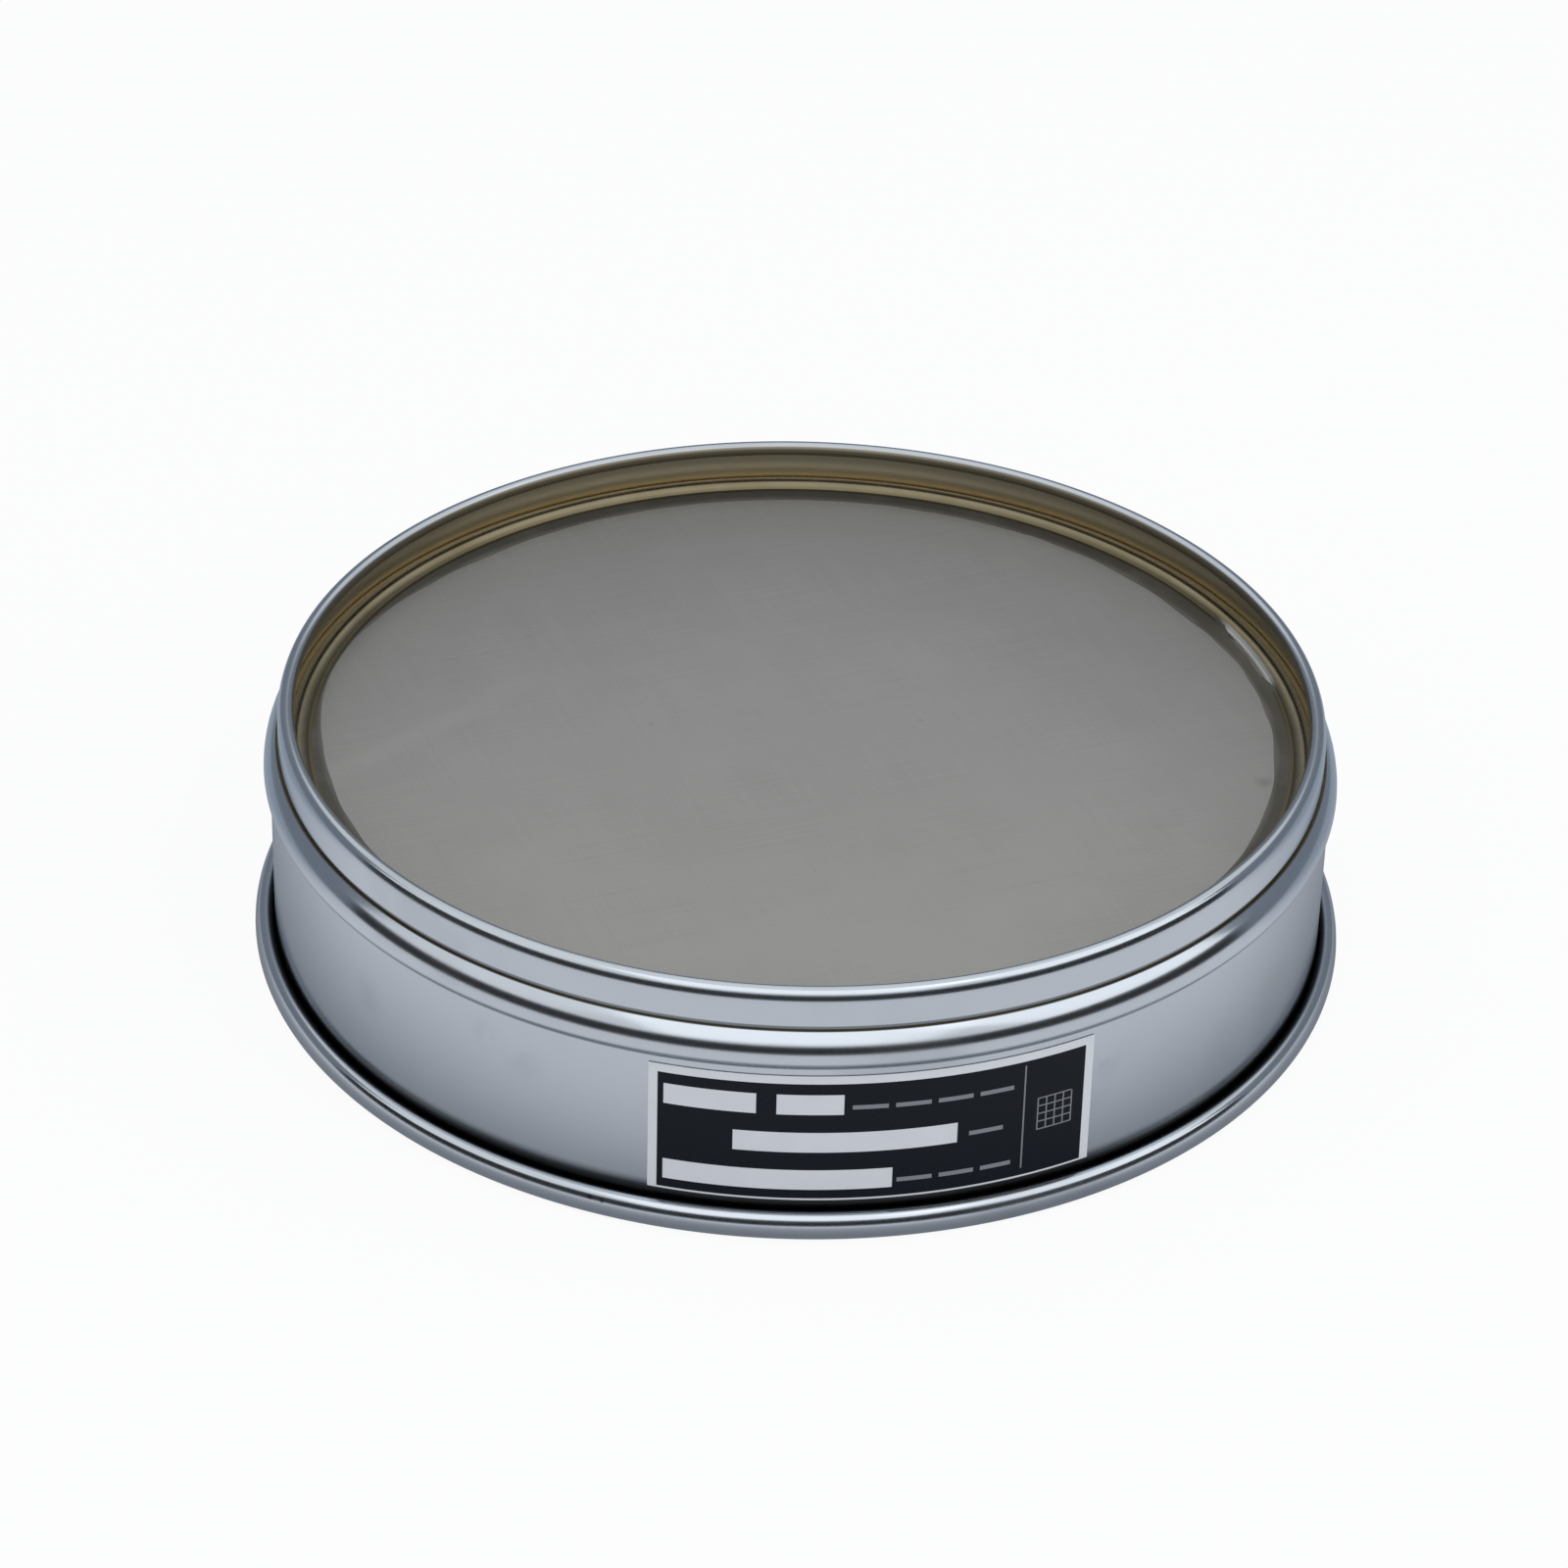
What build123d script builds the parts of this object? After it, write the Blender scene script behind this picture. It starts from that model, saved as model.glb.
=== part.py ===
"""Test sieve, 200 mm frame, lying upside down on its rolled mouth with the skirt up.

Frame of reference: +Z up, origin on the sieve's axis in the plane that it rests on,
the label towards -Y. Every sheet piece is one folded profile turned about the axis.
"""

from build123d import *
import math
import os

# ---- driving dimensions, mm ------------------------------------------------------------
frame_bore = 200.0          # inside diameter of the wall and of the mouth
frame_gauge = 0.6           # sheet of the frame
overall_height = 50.9       # from the resting plane to the top of the skirt's hem

rim_reach = 4.4             # rolled mouth, from the bore outwards
rim_height = 5.7
rim_flank_radius = 4.2      # long curve down the outside of the roll
rim_flank_turn = 32.0       # degrees of that curve
rim_inner_radius = 0.7      # bend from the bore into the foot
rim_tuck_gap = 0.1          # between the rolled edge and the wall
rim_tuck_depth = 0.7        # straight end of the rolled edge

bead_step = 1.2             # how far the crimp bead's crest stands out from the wall
bead_root_radius = 1.2      # bend where the wall turns out
bead_flank_radius = 1.5     # bend below the crest
bead_crown_radius = 6.6     # long bend that closes on the skirt

skirt_height = 13.15        # from the bead's crest to the top of the hem
skirt_clearance = 1.0       # between the skirt and the mouth that it drops into, each side
skirt_gauge = 0.6
skirt_root_radius = 1.6     # bend from the gripped flare into the straight part
skirt_lead_radius = 4.5     # easing in towards the hem
skirt_lead_angle = 28.0     # degrees
hem_radius = 1.1            # roll of the hem, to the middle of the sheet
hem_turn = 265.0            # degrees that the hem is rolled through

crimp_edge_angle = 10.0     # degrees above level at which the gripped edges end
crimp_gap = 0.05            # between the sheets gripped in the bead
lip_gap = 0.25              # between the bead's lip and the straight part of the skirt

ring_gauge = 0.5            # sheet of the retaining ring
ring_crown_radius = 2.0     # of the rounded ridge, to the middle of the sheet
ring_root_radius = 0.5      # bends from the ridge into the flanges
ring_slope = 60.0           # degrees, steepest slope of the ridge's sides
ring_inner_flange = 0.5     # flat edge under the solder
ring_outer_flange = 0.4     # flat between the ridge and the shoulder
ring_shoulder_radius = 1.0  # bend from the outer flange down into the bead

cloth_rise = 3.85           # underside of the wire cloth above the bead's crest
cloth_gauge = 0.08          # woven wire cloth, 0.045 mm openings

solder_reach = 4.9          # inner edge of the solder, from the middle of the ridge
solder_height = 0.7         # where the solder meets the ridge's side
solder_edge = 0.2           # thickness at its inner edge
fillet_reach = 3.0          # working-side fillet, along the cloth from the wall
fillet_sagitta = 0.8        # how far its face is hollowed

label_width = 81.7          # along the wall
label_foot_gap = 1.6        # above the rolled mouth
label_head_gap = 1.2        # below the bead
label_centre_angle = 8.8    # degrees from the front, towards +X
label_gauge = 0.1
label_glue = 0.1            # adhesive between the label and the wall

# ---- sizes that follow -----------------------------------------------------------------
bore_radius = frame_bore / 2
wall_mid_radius = bore_radius + frame_gauge / 2
wall_outer_radius = bore_radius + frame_gauge
skirt_outer_radius = bore_radius - skirt_clearance
skirt_mid_radius = skirt_outer_radius - skirt_gauge / 2
crest_height = overall_height - skirt_height
crest_mid_radius = wall_mid_radius + bead_step
crown_centre_radius = crest_mid_radius - bead_crown_radius
bead_turn = math.degrees(math.acos(1 - bead_step / (bead_root_radius + bead_flank_radius)))
bead_start = crest_height - (bead_root_radius + bead_flank_radius) * math.sin(math.radians(bead_turn))
cloth_height = crest_height + cloth_rise
cloth_top = cloth_height + cloth_gauge
ring_mid_height = cloth_top + ring_gauge / 2


# ---- helpers ---------------------------------------------------------------------------
def turned(section):
    """Turn a flat section, drawn as radius and height, about the sieve's axis."""
    return revolve(Plane.XZ * section, Axis.Z, 360)


def cut_back(section, *neighbours):
    """The main piece of a section once its neighbours' sections are taken out of it."""
    for neighbour in neighbours:
        section = section - neighbour
    return max(section.faces(), key=lambda face: face.area)


def folded_sheet(edges, gauge):
    """Section of a sheet of constant gauge whose middle line is a chain of edges."""
    return trace(Wire(edges), line_width=gauge)


def run(start, heading, length):
    """Straight stretch of a middle line from start along heading."""
    return Line(start, Vector(*start) + Vector(*heading).normalized() * length)


def bend(previous, radius, angle):
    """Bend that leaves the previous stretch smoothly, left for a positive angle."""
    return JernArc(previous @ 1, previous % 1, radius, angle)


def follow(previous, length):
    """Straight stretch that leaves the previous bend smoothly."""
    return Line(previous @ 1, previous @ 1 + (previous % 1) * length)


def crimp_arc_end(arc_radius, root_radius, mid_radius):
    """Angle at which a gripped arc leaves for a root bend that ends upright."""
    reach = mid_radius - crown_centre_radius
    return math.degrees(math.acos((reach + root_radius) / (arc_radius + root_radius)))


def crimp_edge(arc_radius, end_angle):
    """Edge of a sheet gripped in the bead, turned down inside the bead's crown."""
    return CenterArc(
        (crown_centre_radius, crest_height),
        arc_radius,
        crimp_edge_angle,
        end_angle - crimp_edge_angle,
    )


# ---- frame: wall, rolled mouth and crimp bead in one sheet -----------------------------
def draw_frame():
    tuck_radius = wall_outer_radius + rim_tuck_gap + frame_gauge / 2
    rim_mid_radius = bore_radius + rim_reach - frame_gauge / 2
    flank_turn = math.radians(rim_flank_turn)
    flank_width = rim_flank_radius * (1 - math.cos(flank_turn))
    roll_radius = (rim_mid_radius - tuck_radius - flank_width) / (1 + math.cos(flank_turn))
    roll_height = rim_height - frame_gauge / 2 - roll_radius
    flank_end = roll_height + (roll_radius - rim_flank_radius) * math.sin(flank_turn)
    foot_radius = flank_end - frame_gauge / 2
    foot = rim_mid_radius - wall_mid_radius - foot_radius - rim_inner_radius
    wall = bead_start - frame_gauge / 2 - rim_inner_radius
    crown_turn = math.degrees(
        math.acos((skirt_outer_radius - crown_centre_radius) / (bead_crown_radius + frame_gauge / 2))
    )

    tuck = run((tuck_radius, roll_height - rim_tuck_depth), (0, 1), rim_tuck_depth)
    roll = bend(tuck, roll_radius, rim_flank_turn - 180)
    rim_flank = bend(roll, rim_flank_radius, -rim_flank_turn)
    foot_bend = bend(rim_flank, foot_radius, -90)
    foot_land = follow(foot_bend, foot)
    inner_bend = bend(foot_land, rim_inner_radius, -90)
    wall_run = follow(inner_bend, wall)
    root_bend = bend(wall_run, bead_root_radius, -bead_turn)
    flank_bend = bend(root_bend, bead_flank_radius, bead_turn)
    crown_bend = bend(flank_bend, bead_crown_radius, crown_turn)
    chain = [tuck, roll, rim_flank, foot_bend, foot_land, inner_bend]
    chain += [wall_run, root_bend, flank_bend, crown_bend]

    # the bead's lip is dressed down on to the skirt, so its edge is cut to the skirt
    room_radius = skirt_outer_radius + lip_gap
    room_height = overall_height - crest_height
    skirt_room = Pos(room_radius / 2, crest_height + room_height / 2) * Rectangle(room_radius, room_height)
    return cut_back(folded_sheet(chain, frame_gauge), skirt_room)


# ---- skirt: flare gripped in the bead, straight spigot, rolled hem ---------------------
flare_radius = bead_crown_radius - frame_gauge / 2 - crimp_gap - skirt_gauge / 2


def draw_skirt():
    flare_end = crimp_arc_end(flare_radius, skirt_root_radius, skirt_mid_radius)
    band_start = crest_height + (flare_radius + skirt_root_radius) * math.sin(math.radians(flare_end))
    lean = math.sin(math.radians(skirt_lead_angle))
    hem_rise = hem_radius * (1 - lean) + skirt_lead_radius * lean
    band_top = overall_height - skirt_gauge / 2 - hem_rise

    flare = crimp_edge(flare_radius, flare_end)
    root = bend(flare, skirt_root_radius, -flare_end)
    band = follow(root, band_top - band_start)
    lead_in = bend(band, skirt_lead_radius, skirt_lead_angle)
    hem = bend(lead_in, hem_radius, hem_turn)
    return folded_sheet([flare, root, band, lead_in, hem], skirt_gauge)


# ---- retaining ring: rounded ridge, flat flange, edge turned down in the bead ----------
ring_edge_radius = flare_radius - skirt_gauge / 2 - crimp_gap - ring_gauge / 2
ridge_reach = (ring_root_radius + ring_crown_radius) * math.sin(math.radians(ring_slope))

# the shoulder is a bend that touches the flat flange and the turned-down edge
shoulder_rise = ring_mid_height - crest_height - ring_shoulder_radius
shoulder_reach = math.sqrt((ring_edge_radius - ring_shoulder_radius) ** 2 - shoulder_rise**2)
shoulder_angle = math.degrees(math.atan2(shoulder_rise, shoulder_reach))
flange_end_radius = crown_centre_radius + shoulder_reach
ridge_radius = flange_end_radius - ring_outer_flange - ridge_reach


def draw_retaining_ring():
    edge_radius = ridge_radius - ridge_reach - ring_inner_flange

    inner_flange = run((edge_radius, ring_mid_height), (1, 0), ring_inner_flange)
    inner_root = bend(inner_flange, ring_root_radius, ring_slope)
    crown = bend(inner_root, ring_crown_radius, -2 * ring_slope)
    outer_root = bend(crown, ring_root_radius, ring_slope)
    flange = follow(outer_root, ring_outer_flange)
    shoulder = bend(flange, ring_shoulder_radius, shoulder_angle - 90)
    edge = bend(shoulder, ring_edge_radius, crimp_edge_angle - shoulder_angle)
    chain = [inner_flange, inner_root, crown, outer_root, flange, shoulder, edge]
    return folded_sheet(chain, ring_gauge)


# ---- woven wire cloth ------------------------------------------------------------------
def draw_wire_cloth():
    middle = Pos(flange_end_radius / 2, cloth_height + cloth_gauge / 2)
    return middle * Rectangle(flange_end_radius, cloth_gauge)


# ---- solder: band inside the ridge, fillet on the working side -------------------------
def draw_solder_band(ring):
    inner = ridge_radius - solder_reach
    outer = ridge_radius - ridge_reach / 2
    wedge = make_face(
        Polyline(
            (inner, cloth_top),
            (outer, cloth_top),
            (outer, cloth_top + solder_height),
            (inner + solder_edge, cloth_top + solder_edge),
            close=True,
        )
    )
    return cut_back(wedge, ring)


def draw_solder_fillet(frame_sheet, ring):
    """Hollow fillet from the cloth to the wall, run into the bead under the turned-down edge."""
    toe = (bore_radius - fillet_reach, cloth_height)
    heel = (bore_radius, bead_start)
    face_line = SagittaArc(toe, heel, -fillet_sagitta)
    back = Polyline(heel, (wall_mid_radius, bead_start), (wall_mid_radius, cloth_height), toe)
    return cut_back(make_face([face_line] + list(back.edges())), frame_sheet, ring)


# ---- label -----------------------------------------------------------------------------
def make_label():
    span = math.degrees(label_width / wall_outer_radius)
    bottom = rim_height + label_foot_gap
    top = bead_start - label_head_gap
    middle_radius = wall_outer_radius + label_glue + label_gauge / 2
    strip = Pos(middle_radius, (bottom + top) / 2) * Rectangle(label_gauge, top - bottom)
    front = -90
    wrapped = revolve(Plane.XZ * strip, Axis.Z, span)
    return Rot(0, 0, front + label_centre_angle - span / 2) * wrapped


frame_section = draw_frame()
ring_section = draw_retaining_ring()

frame = turned(frame_section)
skirt = turned(draw_skirt())
retaining_ring = turned(ring_section)
wire_cloth = turned(draw_wire_cloth())
solder_band = turned(draw_solder_band(ring_section))
solder_fillet = turned(draw_solder_fillet(frame_section, ring_section))
label = make_label()

nodes = {
    "frame": frame,
    "skirt": skirt,
    "retaining_ring": retaining_ring,
    "wire_cloth": wire_cloth,
    "solder_band": solder_band,
    "solder_fillet": solder_fillet,
    "label": label,
}

os.makedirs("parts", exist_ok=True)
for name, solid in nodes.items():
    export_step(solid, f"parts/{name}.step")
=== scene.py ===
"""Looks of a 200 mm test sieve that lies upside down on its rolled mouth.

Metres, +Z up, the sieve's axis on Z and the label towards -Y. Every sheet piece is the
middle line of a folded sheet, turned about the axis and given the sheet's gauge.
"""

import math
from functools import cached_property

import bmesh
import bpy
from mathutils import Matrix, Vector, noise


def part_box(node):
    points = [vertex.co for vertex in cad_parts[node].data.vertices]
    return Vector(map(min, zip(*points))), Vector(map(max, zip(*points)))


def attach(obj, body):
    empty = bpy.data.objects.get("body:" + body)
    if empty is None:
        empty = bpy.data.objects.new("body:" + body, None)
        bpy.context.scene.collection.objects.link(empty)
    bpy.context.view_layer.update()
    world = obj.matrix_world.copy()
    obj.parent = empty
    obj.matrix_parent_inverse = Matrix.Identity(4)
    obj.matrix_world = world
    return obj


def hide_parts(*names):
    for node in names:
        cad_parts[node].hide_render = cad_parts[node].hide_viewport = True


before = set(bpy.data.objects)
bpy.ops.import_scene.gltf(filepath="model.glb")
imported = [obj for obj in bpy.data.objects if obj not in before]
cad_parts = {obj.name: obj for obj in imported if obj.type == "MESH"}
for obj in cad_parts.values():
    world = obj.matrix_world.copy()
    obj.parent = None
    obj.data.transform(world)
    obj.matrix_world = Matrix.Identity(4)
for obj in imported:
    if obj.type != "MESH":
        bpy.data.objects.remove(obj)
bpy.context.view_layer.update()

mm = 0.001
AXIS = (0, 0, 1)
TURN_STEPS = 360            # facets around the sieve
BEND_STEP = 7.5             # degrees between the folds of a bend
SAME_PLACE = 1e-3 * mm      # vertices nearer to each other than this are one

# ---- driving dimensions ----------------------------------------------------------------
frame_gauge = 0.6 * mm
bore_radius = 100 * mm
overall_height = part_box("skirt")[1].z

rim_height = 5.7 * mm
rim_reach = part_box("frame")[1].x - bore_radius
rim_flank_radius = 4.2 * mm
rim_flank_turn = 32
rim_inner_radius = 0.7 * mm
rim_tuck_gap = 0.1 * mm
rim_tuck_depth = 0.7 * mm

bead_step = 1.2 * mm
bead_root_radius = 1.2 * mm
bead_flank_radius = 1.5 * mm
bead_crown_radius = 6.6 * mm

skirt_height = 13.15 * mm
skirt_radius = bore_radius - 1 * mm
skirt_gauge = 0.6 * mm
skirt_root_radius = 1.6 * mm
skirt_lead_radius = 4.5 * mm
skirt_lead_angle = 28
hem_radius = 1.1 * mm
hem_turn = 265

crimp_edge_angle = 10
crimp_gap = 0.05 * mm
lip_gap = 0.25 * mm

ring_gauge = 0.5 * mm
ring_crown_radius = 2 * mm
ring_root_radius = 0.5 * mm
ring_slope = 60
ring_inner_flange = 0.5 * mm
ring_outer_flange = 0.4 * mm
ring_shoulder_radius = 1 * mm

cloth_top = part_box("wire_cloth")[1].z

# ---- sizes that follow -----------------------------------------------------------------
wall_mid = bore_radius + frame_gauge / 2
wall_outer = bore_radius + frame_gauge
skirt_mid = skirt_radius - skirt_gauge / 2
crest_height = overall_height - skirt_height
crest_mid = wall_mid + bead_step
bead_turn = math.degrees(math.acos(1 - bead_step / (bead_root_radius + bead_flank_radius)))
bead_start = crest_height - (bead_root_radius + bead_flank_radius) * math.sin(math.radians(bead_turn))
crown_centre = crest_mid - bead_crown_radius
flare_radius = bead_crown_radius - frame_gauge / 2 - crimp_gap - skirt_gauge / 2
ring_edge_radius = flare_radius - skirt_gauge / 2 - crimp_gap - ring_gauge / 2
ridge_reach = (ring_root_radius + ring_crown_radius) * math.sin(math.radians(ring_slope))
ring_height = cloth_top + ring_gauge / 2
shoulder_rise = ring_height - crest_height - ring_shoulder_radius
shoulder_reach = math.sqrt((ring_edge_radius - ring_shoulder_radius) ** 2 - shoulder_rise**2)
shoulder_angle = math.degrees(math.atan2(shoulder_rise, shoulder_reach))
ridge_radius = crown_centre + shoulder_reach - ring_outer_flange - ridge_reach


# ---- making pieces ---------------------------------------------------------------------
def begin(piece_name):
    """Name the piece that an operator has just added and leave it ready to be edited."""
    piece = bpy.context.object
    piece.name = piece_name
    bpy.ops.object.transform_apply(location=True, rotation=True, scale=True)
    bpy.ops.object.mode_set(mode="EDIT")
    bpy.ops.mesh.select_mode(type="VERT")
    bpy.ops.mesh.select_all(action="SELECT")
    return piece


def choose(test):
    """Select the vertices of the edited piece whose places pass a test."""
    mesh = bmesh.from_edit_mesh(bpy.context.object.data)
    for vertex in mesh.verts:
        vertex.select_set(test(vertex.co))
    mesh.select_flush_mode()
    bmesh.update_edit_mesh(bpy.context.object.data)


def shade_round(sharpest=40):
    """Shade the finished piece round across folds of fewer degrees."""
    bpy.ops.object.shade_smooth_by_angle(angle=math.radians(sharpest))


def thicken(piece, gauge, even=False):
    """Give a sheet its gauge, half to each side, the same across its folds where even."""
    modifier = piece.modifiers.new("gauge", "SOLIDIFY")
    modifier.thickness = gauge
    modifier.offset = 0
    modifier.use_even_offset = even
    bpy.ops.object.modifier_apply(modifier=modifier.name)
    shade_round()


class MiddleLine:
    """Middle line of a folded sheet, drawn as radius and height from its free edge."""

    def __init__(self, piece_name, radius, height, heading):
        bpy.ops.object.select_all(action="DESELECT")
        bpy.ops.mesh.primitive_plane_add(size=mm, location=(radius, 0, height))
        self.piece = begin(piece_name)
        bpy.ops.mesh.merge(type="CENTER")
        self.place = Vector((radius, 0, height))
        self.heading = heading

    def along(self, turned=0):
        angle = math.radians(self.heading + turned)
        return Vector((math.cos(angle), 0, math.sin(angle)))

    def at_end(self):
        choose(lambda co: (co - self.place).length < SAME_PLACE)

    def go(self, step):
        """Straight stretch to a place a step away."""
        bpy.ops.mesh.extrude_region_move(TRANSFORM_OT_translate={"value": step})
        self.place += step
        self.at_end()

    def run(self, length):
        """Straight stretch of a length ahead."""
        self.go(self.along() * length)

    def bend(self, radius, turn):
        """Bend of a radius, to the left for a positive turn in degrees."""
        side = math.copysign(90, turn)
        centre = self.place + self.along(side) * radius
        folds = max(2, round(abs(turn) / BEND_STEP))
        axis = (0, math.copysign(1, turn), 0)
        bpy.ops.mesh.spin(steps=folds, angle=math.radians(abs(turn)), center=centre, axis=axis)
        self.heading += turn
        self.place = centre - self.along(side) * radius
        self.at_end()

    def turn(self):
        """Turn the line about the sieve's axis into an open sheet."""
        bpy.ops.mesh.select_all(action="SELECT")
        bpy.ops.mesh.spin(steps=TURN_STEPS, angle=math.tau, center=(0, 0, 0), axis=AXIS)
        bpy.ops.mesh.select_all(action="SELECT")
        bpy.ops.mesh.remove_doubles(threshold=SAME_PLACE)
        bpy.ops.mesh.normals_make_consistent(inside=False)

    def close_turned(self):
        """Turn the line and close the two free edges of its sheet with a flat underside."""
        self.turn()
        bpy.ops.mesh.select_all(action="DESELECT")
        bpy.ops.mesh.select_non_manifold()
        bpy.ops.mesh.bridge_edge_loops()
        bpy.ops.mesh.select_all(action="SELECT")
        bpy.ops.mesh.normals_make_consistent(inside=False)

    def turned(self, gauge):
        """Turn the line and give it the sheet's gauge."""
        self.turn()
        bpy.ops.object.mode_set(mode="OBJECT")
        thicken(self.piece, gauge, even=True)
        return self.piece


# ---- frame -----------------------------------------------------------------------------
def make_frame():
    tuck = wall_outer + rim_tuck_gap + frame_gauge / 2
    rim_mid = bore_radius + rim_reach - frame_gauge / 2
    flank = math.radians(rim_flank_turn)
    flank_width = rim_flank_radius * (1 - math.cos(flank))
    roll_radius = (rim_mid - tuck - flank_width) / (1 + math.cos(flank))
    roll_height = rim_height - frame_gauge / 2 - roll_radius
    foot_radius = roll_height + (roll_radius - rim_flank_radius) * math.sin(flank) - frame_gauge / 2
    lip_radius = skirt_radius + lip_gap
    lip_turn = math.degrees(math.acos((lip_radius - crown_centre) / bead_crown_radius))

    line = MiddleLine("rolled_frame", tuck, roll_height - rim_tuck_depth, 90)
    line.run(rim_tuck_depth)
    line.bend(roll_radius, rim_flank_turn - 180)
    line.bend(rim_flank_radius, -rim_flank_turn)
    line.bend(foot_radius, -90)
    line.run(rim_mid - wall_mid - foot_radius - rim_inner_radius)
    line.bend(rim_inner_radius, -90)
    line.run(bead_start - frame_gauge / 2 - rim_inner_radius)
    line.bend(bead_root_radius, -bead_turn)
    line.bend(bead_flank_radius, bead_turn)
    line.bend(bead_crown_radius, lip_turn)
    return line.turned(frame_gauge)


def make_skirt():
    reach = skirt_mid - crown_centre
    flare_end = math.degrees(math.acos((reach + skirt_root_radius) / (flare_radius + skirt_root_radius)))
    band_start = crest_height + (flare_radius + skirt_root_radius) * math.sin(math.radians(flare_end))
    lean = math.sin(math.radians(skirt_lead_angle))
    hem_rise = hem_radius * (1 - lean) + skirt_lead_radius * lean
    band_top = overall_height - skirt_gauge / 2 - hem_rise
    edge = math.radians(crimp_edge_angle)

    line = MiddleLine(
        "hemmed_skirt",
        crown_centre + flare_radius * math.cos(edge),
        crest_height + flare_radius * math.sin(edge),
        90 + crimp_edge_angle,
    )
    line.bend(flare_radius, flare_end - crimp_edge_angle)
    line.bend(skirt_root_radius, -flare_end)
    line.run(band_top - band_start)
    line.bend(skirt_lead_radius, skirt_lead_angle)
    line.bend(hem_radius, hem_turn)
    return line.turned(skirt_gauge)


def make_retaining_ring():
    line = MiddleLine("ridged_ring", ridge_radius - ridge_reach - ring_inner_flange, ring_height, 0)
    line.run(ring_inner_flange)
    line.bend(ring_root_radius, ring_slope)
    line.bend(ring_crown_radius, -2 * ring_slope)
    line.bend(ring_root_radius, ring_slope)
    line.run(ring_outer_flange)
    line.bend(ring_shoulder_radius, shoulder_angle - 90)
    line.bend(ring_edge_radius, crimp_edge_angle - shoulder_angle)
    return line.turned(ring_gauge)


# ---- solder ----------------------------------------------------------------------------
solder_reach = 5.6 * mm         # from the ridge's crown to the inner edge on the cloth
solder_edge_height = 0.12 * mm
solder_steps = (                # share of the width and rise, from the inner edge to the ridge
    (0.35, 0.12 * mm),
    (0.4, 0.2 * mm),
    (0.25, 0.22 * mm),
)
edge_swells = (                 # mm outwards, azimuth and width in degrees
    (2.9, -104, 19),
    (-0.9, 124, 10),
    (0.25, 109, 5),
    (0.2, 96, 5),
)
edge_wander = 0.35              # mm
bare_patches = ((114, 4), (107, 4))
bare_depth = 2.3                # mm by which a bare patch draws the solder off the ridge
drip_scale = 120
drip_height = 0.06 * mm


def swell(azimuth, centre, width):
    """Smooth bump of height 1 around an azimuth, in degrees."""
    away = (azimuth - centre + 180) % 360 - 180
    return math.exp(-((away / width) ** 2))


def make_solder_run():
    """Hand-run solder from the ridge's side on to the cloth, with a wandering inner edge."""
    inner = ridge_radius - solder_reach
    outer = ridge_radius - ridge_reach / 2
    line = MiddleLine("solder_run", inner, cloth_top, 90)
    line.run(solder_edge_height)
    for share, rise in solder_steps:
        line.go(Vector(((outer - inner) * share, 0, rise)))
    line.go(Vector((0, 0, cloth_top - line.place.z)))
    line.close_turned()
    bpy.ops.object.mode_set(mode="OBJECT")

    for vertex in line.piece.data.vertices:
        place = vertex.co
        radius = math.hypot(place.x, place.y)
        azimuth = math.degrees(math.atan2(place.x, -place.y))
        drip = noise.noise(Vector((place.x, place.y, 0)) * drip_scale)
        edge = sum(out * swell(azimuth, centre, width) for out, centre, width in edge_swells)
        edge += edge_wander * drip
        bare = bare_depth * sum(swell(azimuth, centre, width) for centre, width in bare_patches)
        nearness = (outer - radius) / (outer - inner)
        shift = edge * nearness - min(bare, bare_depth) * (1 - nearness)
        place.x += place.x / radius * shift * mm
        place.y += place.y / radius * shift * mm
        if place.z > cloth_top + solder_edge_height / 2:
            place.z += drip * drip_height
    shade_round(50)
    return line.piece


# ---- label -----------------------------------------------------------------------------
label_width = 81.7 * mm
label_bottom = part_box("label")[0].z
label_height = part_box("label")[1].z - label_bottom
label_turn = 8.8                # degrees from the front to the label's middle
label_start = label_turn - math.degrees(label_width / 2 / wall_outer)
label_stand = 0.1 * mm          # adhesive under the film
film_gauge = 0.1 * mm
film_facet = 1.5 * mm
ink_gauge = 0.015 * mm
INKS = ("film", "black", "strip", "grey", "weft")       # layers, from the wall outwards

label_border = 1.7 * mm
bottom_border = 0.4 * mm
left_margin = 2.8 * mm
divider_start = 67.8 * mm
divider_width = 0.3 * mm
divider_bottom = 2 * mm
divider_height = 22.4 * mm

first_row = 2.3 * mm            # bottom of the lowest row of writing strips
row_pitch = 8.2 * mm
strip_height = 4.3 * mm
strips = (                      # row, start and width
    (0, left_margin, 41 * mm),
    (1, 15.3 * mm, 40.1 * mm),
    (2, left_margin, 16.5 * mm),
    (2, 22.9 * mm, 11.9 * mm),
)

captions = (21.2 * mm, 8.2 * mm, 29.5 * mm)     # lengths, from the lowest row up
caption_end = 65.8 * mm
caption_rise = 1.1 * mm         # above the bottom of the row
dash_length = 6.4 * mm
dash_height = 0.9 * mm
dash_gap = 1.3 * mm
shortest_dash = 1 * mm

grid_start = 70.6 * mm
grid_bottom = 9.6 * mm
grid_pitch = 1.7 * mm
grid_lines = 5
grid_line_width = 0.25 * mm


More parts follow.
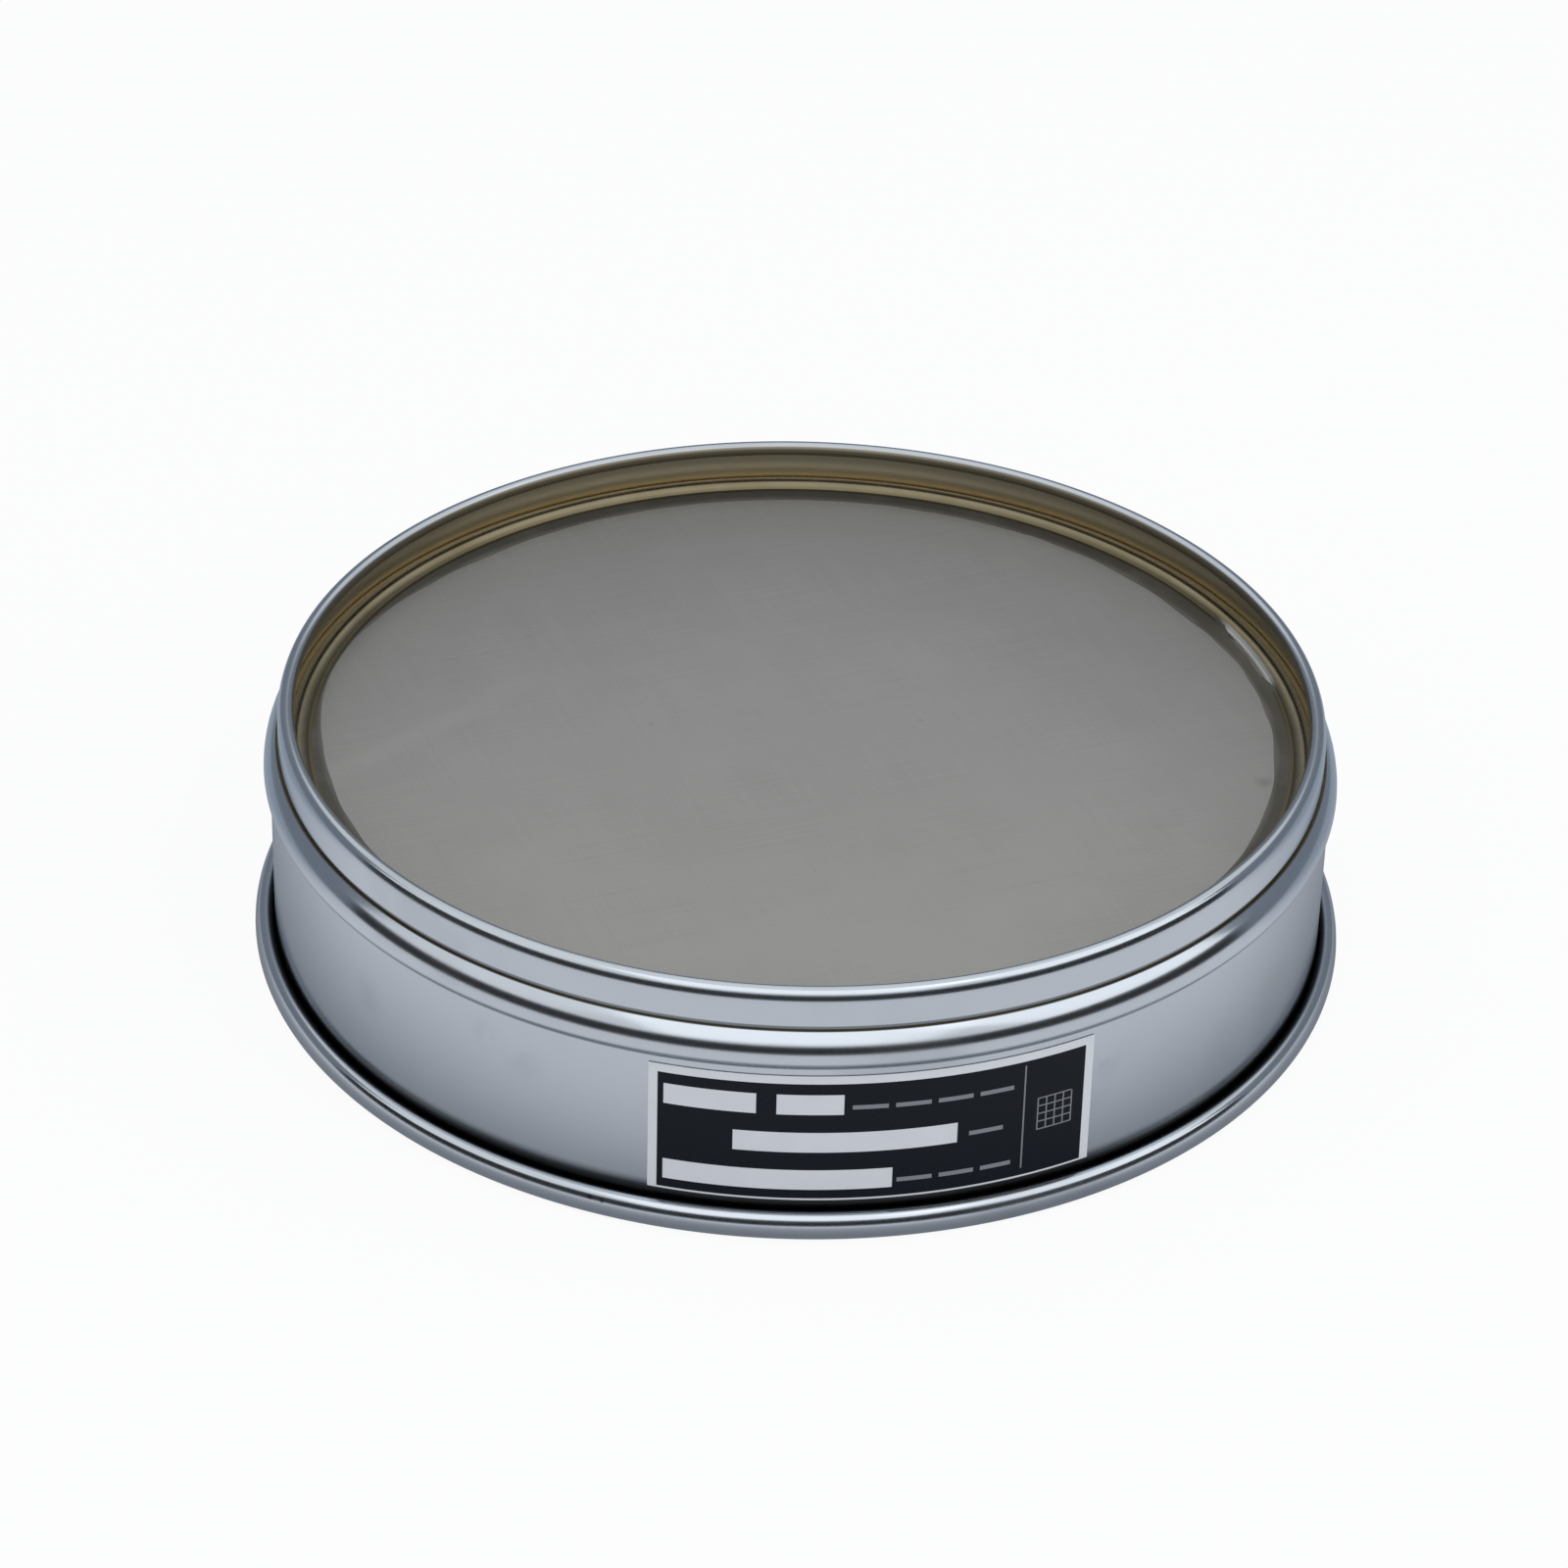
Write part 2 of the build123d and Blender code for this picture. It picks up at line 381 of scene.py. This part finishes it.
def make_patch(name, stand, gauge, start, width, bottom, height):
    """Thin film wrapped on the wall; start and width run along the label from its left edge."""
    radius = wall_outer + label_stand + stand + gauge / 2
    line = MiddleLine(name, radius, label_bottom + bottom, 90)
    line.run(height)
    bpy.ops.mesh.select_all(action="SELECT")
    steps = max(2, round(width / film_facet))
    turn = width / wall_outer
    bpy.ops.mesh.spin(steps=steps, angle=-turn, center=(0, 0, 0), axis=AXIS)
    bpy.ops.mesh.select_all(action="SELECT")
    bpy.ops.mesh.remove_doubles(threshold=SAME_PLACE)
    bpy.ops.mesh.normals_make_consistent(inside=False)
    bpy.ops.object.mode_set(mode="OBJECT")
    line.piece.rotation_euler.z = math.radians(label_start - 90) + start / wall_outer
    bpy.ops.object.transform_apply(location=False, rotation=True, scale=False)
    thicken(line.piece, gauge)
    return line.piece


def print_patch(ink, start, width, bottom, height):
    """Area of the label's face in one ink."""
    stand = film_gauge + (INKS.index(ink) - 1) * ink_gauge
    patch = make_patch(ink, stand, ink_gauge, start, width, bottom, height)
    wear(patch, label_inks[ink])
    return patch


def print_strips():
    """Bare strips for writing on."""
    return [
        print_patch("strip", start, width, first_row + row * row_pitch, strip_height)
        for row, start, width in strips
    ]


def print_captions():
    """Dashes in place of words, in each row up to the divider."""
    dashes = []
    for row, length in enumerate(captions):
        bottom = first_row + row * row_pitch + caption_rise
        start = caption_end - length
        while start < caption_end - shortest_dash:
            dash = min(dash_length, caption_end - start)
            dashes.append(print_patch("grey", start, dash, bottom, dash_height))
            start += dash + dash_gap
    return dashes


def print_grid():
    """Plain grid right of the divider."""
    size = grid_pitch * (grid_lines - 1)
    threads = []
    for line in range(grid_lines):
        offset = line * grid_pitch
        threads.append(print_patch("grey", grid_start + offset, grid_line_width, grid_bottom, size))
        threads.append(print_patch("weft", grid_start, size, grid_bottom + offset, grid_line_width))
    return threads


def make_label():
    """White film, black print, three rows of writing strips with bare captions, a plain grid."""
    film = make_patch("label_film", 0, film_gauge, 0, label_width, 0, label_height)
    wear(film, label_inks["film"])
    black_width = label_width - 2 * label_border
    black_height = label_height - label_border - bottom_border
    layers = [
        film,
        print_patch("black", label_border, black_width, bottom_border, black_height),
        *print_strips(),
        *print_captions(),
        print_patch("grey", divider_start, divider_width, divider_bottom, divider_height),
        *print_grid(),
    ]
    bpy.ops.object.select_all(action="DESELECT")
    for layer in layers:
        layer.select_set(True)
    bpy.context.view_layer.objects.active = film
    bpy.ops.object.join()
    film.name = "printed_label"
    return film


# ---- finishes --------------------------------------------------------------------------
class Signal:
    """Output of a node; arithmetic on it adds Math nodes."""

    def __init__(self, nodes, socket):
        self.nodes = nodes
        self.socket = socket

    def math(self, operation, first, second):
        return self.nodes.node("ShaderNodeMath", {"operation": operation}, {0: first, 1: second})

    def larger(self, other):
        return self.math("MAXIMUM", self, other)

    def __add__(self, other):
        return self.math("ADD", self, other)

    def __radd__(self, other):
        return self.math("ADD", other, self)

    def __sub__(self, other):
        return self.math("SUBTRACT", self, other)

    def __rsub__(self, other):
        return self.math("SUBTRACT", other, self)

    def __mul__(self, other):
        return self.math("MULTIPLY", self, other)

    def __rmul__(self, other):
        return self.math("MULTIPLY", other, self)

    def __truediv__(self, other):
        return self.math("DIVIDE", self, other)

    def __rtruediv__(self, other):
        return self.math("DIVIDE", other, self)

    def __pow__(self, other):
        return self.math("POWER", self, other)

    def __rpow__(self, other):
        return self.math("POWER", other, self)


class Nodes:
    """Node tree that is laid out from Python expressions."""

    def __init__(self, tree):
        self.tree = tree

    def feed(self, socket, value):
        """Link a signal to a socket, or set a constant directly."""
        if isinstance(value, Signal):
            self.tree.links.new(value.socket, socket)
            return
        if socket.type == "RGBA" and len(value) == 3:
            value = (*value, 1)
        socket.default_value = value

    def node(self, kind, settings=None, inputs=None, output=0):
        """Add a node, set and fed; gives the output that is named, or all for None."""
        made = self.tree.nodes.new(kind)
        for setting, value in (settings or {}).items():
            setattr(made, setting, value)
        for socket, value in (inputs or {}).items():
            self.feed(made.inputs[socket], value)
        if output is None:
            return [Signal(self, socket) for socket in made.outputs]
        return Signal(self, made.outputs[output])


class Finish(Nodes):
    """Material of a piece, whose pattern follows places in the piece's mesh."""

    def __init__(self, name, **surface):
        self.material = bpy.data.materials.new(name)
        self.material.use_nodes = True
        super().__init__(self.material.node_tree)
        self.surface = self.tree.nodes["Principled BSDF"]
        self.set(**surface)

    def set(self, **sockets):
        """Feed the surface's sockets, each named by its words in small letters."""
        for name, value in sockets.items():
            socket = name.replace("_", " ").title().replace("Ior", "IOR")
            self.feed(self.surface.inputs[socket], value)

    @cached_property
    def place(self):
        return self.node("ShaderNodeTexCoord", output="Object")

    @cached_property
    def axes(self):
        return self.split(self.place)

    @cached_property
    def radius(self):
        x, y, _ = self.axes
        return (x * x + y * y) ** 0.5

    @cached_property
    def angle(self):
        """Angle around the sieve from the front, in radians, to the right."""
        x, y, _ = self.axes
        return x.math("ARCTAN2", x, y * -1)

    def split(self, vector):
        return self.node("ShaderNodeSeparateXYZ", inputs={0: vector}, output=None)

    def vector(self, x, y, z):
        return self.node("ShaderNodeCombineXYZ", inputs={0: x, 1: y, 2: z})

    def noise(self, place, scale, detail=2.0, roughness=0.5):
        inputs = {"Vector": place, "Scale": scale, "Detail": detail, "Roughness": roughness}
        return self.node("ShaderNodeTexNoise", inputs=inputs)

    def fade(self, value, low, high, out_low=0.0, out_high=1.0):
        """Smooth step of a value between two levels."""
        settings = {"interpolation_type": "SMOOTHSTEP"}
        inputs = {0: value, 1: low, 2: high, 3: out_low, 4: out_high}
        return self.node("ShaderNodeMapRange", settings, inputs)

    def band(self, value, start, full, last, end):
        """Mask that fades in from start to full and out from last to end."""
        return self.fade(value, start, full) * self.fade(value, end, last)

    def blend(self, mask, low, high):
        """Colour that goes from low to high as the mask goes from 0 to 1."""
        settings = {"data_type": "RGBA"}
        inputs = {"Factor": mask, 6: low, 7: high}
        return self.node("ShaderNodeMix", settings, inputs, output=2)

    def away(self, place):
        """Distance from a point."""
        settings = {"operation": "DISTANCE"}
        return self.node("ShaderNodeVectorMath", settings, {0: self.place, 1: place}, output=1)

    def marks(self, *marks):
        """Soft round marks, each a place, a radius and a strength."""
        first, *others = (
            self.fade(self.away(place), size, 0) * strength for place, size, strength in marks
        )
        return sum(others, first)

    def bump(self, height, distance, strength=1.0):
        inputs = {"Height": height, "Distance": distance, "Strength": strength}
        return self.node("ShaderNodeBump", inputs=inputs)


def wear(piece, material):
    """Give a piece one material all over."""
    piece.data.materials.clear()
    piece.data.materials.append(material)


def on_wall(azimuth, height, radius=wall_outer):
    """Point of the sieve at an azimuth from the front in degrees and a height."""
    angle = math.radians(azimuth)
    return (radius * math.sin(angle), -radius * math.cos(angle), height)


def chrome(name, outside, inside):
    """Satin plated sheet: turned grain, cloudy handling marks, brown inside, painted shade in the
    crevice, crease and hem, painted light low inside.
    """
    finish = Finish(name, metallic=1.0)
    x, y, z = finish.axes
    radius = finish.radius
    around = finish.vector(finish.angle * 0.5, radius * 700, z * 700)
    grain = finish.noise(around, 5.0, 3.0, 0.6)
    haze = finish.fade(finish.noise(finish.place, 28.0, 3.0), 0.5, 0.75)
    stains = finish.marks(
        (on_wall(-50, 24 * mm), 6 * mm, 0.25),
        (on_wall(-32.4, 30 * mm), 5 * mm, 0.35),
        (on_wall(-28.4, 27 * mm), 6 * mm, 0.25),
        (on_wall(33.5, 27.5 * mm), 6 * mm, 0.35),
    )
    stains = stains * finish.fade(finish.noise(finish.place, 90.0, 3.0), 0.35, 0.65)
    dents = finish.marks(
        (on_wall(-19.9, 4.4 * mm, 104 * mm), 0.7 * mm, 0.85),
        (on_wall(-18.6, 4.2 * mm, 104.1 * mm), 0.6 * mm, 0.85),
        (on_wall(-12.6, 5.6 * mm, 102.1 * mm), 0.45 * mm, 0.85),
    )

    facing_x, facing_y, _ = finish.split(finish.node("ShaderNodeNewGeometry", output="Normal"))
    outward = (facing_x * x + facing_y * y) / radius
    inner_face = finish.fade(outward, -0.2, -0.6) * finish.band(z, 38 * mm, 39 * mm, 50.3 * mm, 50.7 * mm)
    # Painted dark reflection: the inner side of the hem roll is coloured dark brown.
    painted_hem_darkness = finish.fade(z, 48 * mm, 49 * mm)
    # Painted light: the lower inside of the skirt is coloured a lighter gold.
    painted_gold_light = finish.fade(z, 44.5 * mm, 42.5 * mm)

    # Painted shade: the wall darkens to near black towards the rim's crevice.
    crevice_shade = finish.fade(z, 9.2 * mm, 6.6 * mm)
    crevice_shade = crevice_shade * finish.band(radius, 100.4 * mm, 100.5 * mm, 100.8 * mm, 101 * mm)
    # Painted shade: the skirt's outside darkens in the crease under the bead.
    crease_shade = finish.band(z, 42.3 * mm, 42.6 * mm, 43.6 * mm, 43.9 * mm)
    crease_shade = crease_shade * finish.fade(radius, 99.6 * mm, 99.4 * mm) * finish.fade(outward, -0.1, 0.2)
    # Painted shade of the crevice and crease, with the real dents, all mixed towards near black.
    shade_and_dents = crevice_shade + crease_shade * 0.65 + dents

    colour = finish.blend(haze * 0.55, outside, [level * 0.78 for level in outside])
    colour = finish.blend(stains, colour, [level * 0.55 for level in outside])
    inside = finish.blend(painted_gold_light, inside, (0.5, 0.42, 0.27))
    inside = finish.blend(painted_hem_darkness, inside, (0.16, 0.145, 0.11))
    colour = finish.blend(inner_face, colour, inside)
    roughness = 0.16 + grain * 0.03 + haze * 0.05 + stains * 0.15
    finish.set(
        base_color=finish.blend(shade_and_dents, colour, (0.018, 0.018, 0.018)),
        roughness=roughness + inner_face * 0.2 + painted_gold_light * inner_face * 0.15,
        normal=finish.bump(grain, 0.001 * mm, 0.1),
    )
    return finish.material


def ring_steel():
    """Brownish ring metal, stained by the soldering and bare where the solder drew back, with a painted
    highlight on the ridge's outer flank and painted light on the shoulder.
    """
    finish = Finish("stained_ring_with_painted_light", metallic=1.0)
    radius = finish.radius
    around = finish.vector(finish.angle * 2, radius * 500, finish.axes[2] * 500)
    grain = finish.noise(around, 4.0, 3.0, 0.6)
    stain = finish.fade(finish.noise(finish.place, 60.0, 4.0, 0.6), 0.4, 0.7)
    inner = finish.fade(radius, 94.6 * mm, 93.2 * mm)
    # Painted highlight: the ridge's outer flank is coloured bright.
    flank = finish.fade(radius, 95.3 * mm, 95.9 * mm)
    # Painted light: the outer flange and shoulder under the skirt are coloured lighter.
    outer = finish.fade(radius, 96.9 * mm, 97.4 * mm)
    bare = finish.band(finish.angle, 1.78, 1.84, 2.03, 2.09)
    bare = bare * finish.fade(radius, 94 * mm, 93.5 * mm)

    colour = finish.blend(stain * 0.6, (0.27, 0.235, 0.16), (0.19, 0.155, 0.09))
    colour = finish.blend(inner * 0.8, colour, (0.10, 0.085, 0.05))
    colour = finish.blend(flank, colour, (0.8, 0.73, 0.58))
    colour = finish.blend(outer, colour, (0.5, 0.43, 0.28))
    finish.set(
        base_color=finish.blend(bare, colour, (0.6, 0.6, 0.58)),
        roughness=0.24 + grain * 0.06 + inner * 0.15 + outer * 0.25,
        normal=finish.bump(grain, 0.002 * mm, 0.3),
    )
    return finish.material


def woven_cloth():
    """Fine plain-woven wire cloth: dull sheet with thread lines, mottling and a few specks, a painted
    highlight along a fold and painted shade away from the front.
    """
    finish = Finish("woven_wire", metallic=0.9)
    x, y, _ = finish.axes
    slant = math.radians(22)
    warp = x * math.cos(slant) + y * math.sin(slant)
    weft = y * math.cos(slant) - x * math.sin(slant)
    lines = finish.noise(finish.vector(warp * 2200, weft * 30, 0), 1.0, 2.0)
    cross = finish.noise(finish.vector(warp * 30, weft * 2200, 4), 1.0, 2.0)
    waves = finish.noise(finish.place, 18.0, 3.0)
    patch = finish.noise(finish.place, 90.0, 2.0)
    level = 0.74 + lines * 0.14 + cross * 0.14 + waves * 0.12 + patch * 0.08
    level = level - finish.marks(
        ((-28.7 * mm, 2 * mm, cloth_top), 0.9 * mm, 0.16),
        ((22.6 * mm, 6.2 * mm, cloth_top), 0.8 * mm, 0.12),
        ((-53.8 * mm, 33 * mm, cloth_top), 0.8 * mm, 0.1),
        ((-41.5 * mm, 42.7 * mm, cloth_top), 0.8 * mm, 0.1),
        ((87.4 * mm, -12.2 * mm, cloth_top), 2.6 * mm, 0.2),
    )

    # The cloth's fold, shown as a painted highlight along it.
    fold_lean = math.radians(45.6)
    across_fold = (x + 85.4 * mm) * math.cos(fold_lean) - (y + 16 * mm) * math.sin(fold_lean)
    fold = finish.band(across_fold, -4 * mm, 0, 0.5 * mm, 5 * mm)
    fold = fold * finish.fade(x, -46 * mm, -66 * mm)
    # Painted shade: the cloth darkens away from a point in front of its middle.
    middle = (0, -25 * mm, cloth_top)
    far_painted_shade = finish.fade(finish.away(middle), 45 * mm, 120 * mm, 1.0, 0.85)
    level = (level + fold * 0.05) * far_painted_shade
    finish.set(
        base_color=finish.blend(level, (0, 0, 0), (0.365, 0.362, 0.348)),
        roughness=0.48 + lines * 0.06,
        normal=finish.bump(waves, 0.4 * mm, 0.3),
    )
    return finish.material


def solder_finish(name, dull, bright, thin):
    """Matt solder with brighter tinned patches, paler where it thins out on the cloth."""
    finish = Finish(name, metallic=0.9)
    patch = finish.fade(finish.noise(finish.place, 90.0, 4.0, 0.6), 0.45, 0.75)
    pit = finish.noise(finish.place, 700.0, 3.0)
    depth = finish.fade(finish.axes[2], cloth_top + 0.08 * mm, cloth_top + 0.22 * mm)
    finish.set(
        base_color=finish.blend(depth, thin, finish.blend(patch, dull, bright)),
        roughness=0.42 + pit * 0.1,
        normal=finish.bump(pit, 0.03 * mm, 0.5),
    )
    return finish.material


def film_finish(name, colour, roughness):
    """Printed plastic film, faintly mottled and scuffed."""
    finish = Finish(name, specular_ior_level=0.07)
    mottle = finish.noise(finish.place, 160.0, 3.0)
    scuff = finish.fade(finish.noise(finish.place, 900.0, 2.0), 0.6, 0.8)
    colour = finish.blend(mottle, [level * 0.9 for level in colour], colour)
    finish.set(base_color=colour, roughness=roughness + mottle * 0.08 + scuff * 0.1)
    return finish.material


# ---- pieces and their finishes ---------------------------------------------------------
label_inks = {
    "film": film_finish("white_film", (0.74, 0.74, 0.77), 0.3),
    "black": film_finish("black_print", (0.009, 0.011, 0.016), 0.24),
    "strip": film_finish("writing_strip", (0.72, 0.72, 0.75), 0.45),
    "grey": film_finish("grey_print", (0.24, 0.24, 0.26), 0.4),
}
label_inks["weft"] = label_inks["grey"]
bright = chrome("satin_chrome", (0.46, 0.50, 0.55), (0.30, 0.285, 0.235))

dull_solder = solder_finish(
    "dull_solder", dull=(0.095, 0.09, 0.075), bright=(0.12, 0.115, 0.1), thin=(0.17, 0.165, 0.15)
)
bright_solder = solder_finish(
    "bright_solder", dull=(0.22, 0.22, 0.21), bright=(0.34, 0.34, 0.33), thin=(0.28, 0.28, 0.27)
)

pieces = {
    "frame": (make_frame(), bright, "frame_metal"),
    "skirt": (make_skirt(), bright, "skirt_metal"),
    "retaining_ring": (make_retaining_ring(), ring_steel(), "ring_metal"),
    "solder_band": (make_solder_run(), dull_solder, "solder"),
}
for node, (piece, material, slot) in pieces.items():
    wear(piece, material)
    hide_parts(node)
    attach(piece, "root")

label = make_label()
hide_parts("label")
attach(label, "root")

wear(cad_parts["wire_cloth"], woven_cloth())
wear(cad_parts["solder_fillet"], bright_solder)

# ---- stage, light and camera -----------------------------------------------------------
floor_size = 60
floor_whiteness = 0.93          # the rest is the floor's own shading, with the shadow
sky_colour = (0.86, 0.93, 1)
sky_strength = 0.6

dark_card_radius = 0.385
dark_card_height = 0.127
grey_card_radius = 0.38
grey_card_height = 0.3
mat_radius = 0.38
mat_height = 0.05 * mm
CARD_FACETS = 96

camera_aim = Vector((0, 0, 25 * mm))
camera_elevation = math.radians(32.94)
camera_distance = 1.0305
camera_roll = math.radians(1.66)


def show_white(nodes, shader, white_kind, level):
    """Mix a shader with plain white for camera, glossy and transmission rays."""
    camera, glossy, transmission = (
        nodes.node("ShaderNodeLightPath", output=f"Is {ray} Ray")
        for ray in ("Camera", "Glossy", "Transmission")
    )
    seen = camera.larger(glossy).larger(transmission)
    white = nodes.node(white_kind, inputs={"Color": (1, 1, 1)})
    return nodes.node("ShaderNodeMixShader", inputs={0: seen * level, 1: shader, 2: white})


def make_floor():
    """Pale floor that shows white and keeps the sieve's shadow."""
    bpy.ops.object.select_all(action="DESELECT")
    bpy.ops.mesh.primitive_plane_add(size=floor_size, location=(0, 0, 0))
    floor = bpy.context.object
    floor.name = "floor"
    finish = Finish("pale_floor", base_color=(0.9, 0.9, 0.9), roughness=0.9, specular_ior_level=0.1)
    shader = Signal(finish, finish.surface.outputs[0])
    mix = show_white(finish, shader, "ShaderNodeEmission", floor_whiteness)
    finish.feed(finish.tree.nodes["Material Output"].inputs["Surface"], mix)
    wear(floor, finish.material)


def make_world():
    """Pale blue sky that lights the sieve and shows white."""
    world = bpy.data.worlds.new("studio")
    bpy.context.scene.world = world
    world.use_nodes = True
    nodes = Nodes(world.node_tree)
    sky = nodes.tree.nodes["Background"]
    nodes.feed(sky.inputs["Color"], sky_colour)
    nodes.feed(sky.inputs["Strength"], sky_strength)
    mix = show_white(nodes, Signal(nodes, sky.outputs[0]), "ShaderNodeBackground", 1.0)
    nodes.feed(nodes.tree.nodes["World Output"].inputs["Surface"], mix)


def light_card(card, finish, glow):
    """Give a card its glow and leave it to be seen by polished metal only."""
    finish.set(base_color=(0, 0, 0), roughness=1.0, emission_color=glow, emission_strength=1.0)
    wear(card, finish.material)
    card.visible_camera = False
    card.visible_diffuse = False
    card.visible_shadow = False
    card.visible_transmission = False


def add_standing_card(name, radius, height, glow, behind=False):
    """Standing card around the sieve, or only around its back half."""
    bpy.ops.object.select_all(action="DESELECT")
    bpy.ops.mesh.primitive_cylinder_add(
        vertices=CARD_FACETS,
        radius=radius,
        depth=height,
        end_fill_type="NOTHING",
        location=(0, 0, height / 2),
    )
    card = begin(name)
    if behind:
        choose(lambda co: co.y < -0.1 * radius)
        bpy.ops.mesh.delete(type="VERT")
    bpy.ops.object.mode_set(mode="OBJECT")
    light_card(card, Finish(name + "_glow"), glow)


def add_mat():
    """Mat around the rim that polished metal sees as the shaded floor."""
    bpy.ops.object.select_all(action="DESELECT")
    bpy.ops.mesh.primitive_circle_add(
        vertices=CARD_FACETS, radius=mat_radius, fill_type="NGON", location=(0, 0, mat_height)
    )
    mat = bpy.context.object
    mat.name = "shaded_mat"
    finish = Finish("mat_glow")
    away = finish.fade(finish.radius, 89 * mm, 146 * mm)
    behind = finish.fade(finish.axes[1], -60 * mm, 60 * mm)
    open_floor = finish.blend(behind, (0.9, 0.9, 0.92), (0.38, 0.43, 0.5))
    light_card(mat, finish, finish.blend(away, (0.15, 0.17, 0.2), open_floor))


def add_softbox(name, place, size, level):
    """Square lamp that faces the sieve."""
    bpy.ops.object.light_add(type="AREA", location=place)
    lamp = bpy.context.object
    lamp.name = name
    lamp.rotation_euler = (-Vector(place)).to_track_quat("-Z", "Y").to_euler()
    lamp.data.shape = "SQUARE"
    lamp.data.size = size
    lamp.data.energy = level * math.pi * size * size


def add_camera():
    """Long lens in front of the sieve and above it."""
    back, up = math.cos(camera_elevation), math.sin(camera_elevation)
    place = camera_aim + camera_distance * Vector((0, -back, up))
    bpy.ops.object.camera_add(location=place, rotation=(math.pi / 2 - camera_elevation, 0, 0))
    camera = bpy.context.object
    camera.rotation_euler.rotate_axis("Z", camera_roll)
    camera.data.lens = 123.5
    camera.data.sensor_width = 36
    camera.data.shift_x = -0.0098
    camera.data.shift_y = 0.01515
    bpy.context.scene.camera = camera


make_floor()
add_mat()
add_standing_card("dark_card", dark_card_radius, dark_card_height, (0.01, 0.01, 0.012))
add_standing_card("grey_back_card", grey_card_radius, grey_card_height, (0.24, 0.27, 0.31), behind=True)
make_world()
add_softbox("front_softbox", (0, -0.85, 1.0), 1.3, 0.65)
add_softbox("right_softbox", (1.0, -0.3, 0.95), 1.4, 0.6)
add_softbox("left_softbox", (-1.0, -0.3, 0.95), 1.4, 0.15)
add_softbox("top_softbox", (0, 0.2, 1.5), 1.4, 0.15)
add_camera()

scene = bpy.context.scene
scene.view_settings.view_transform = "Standard"
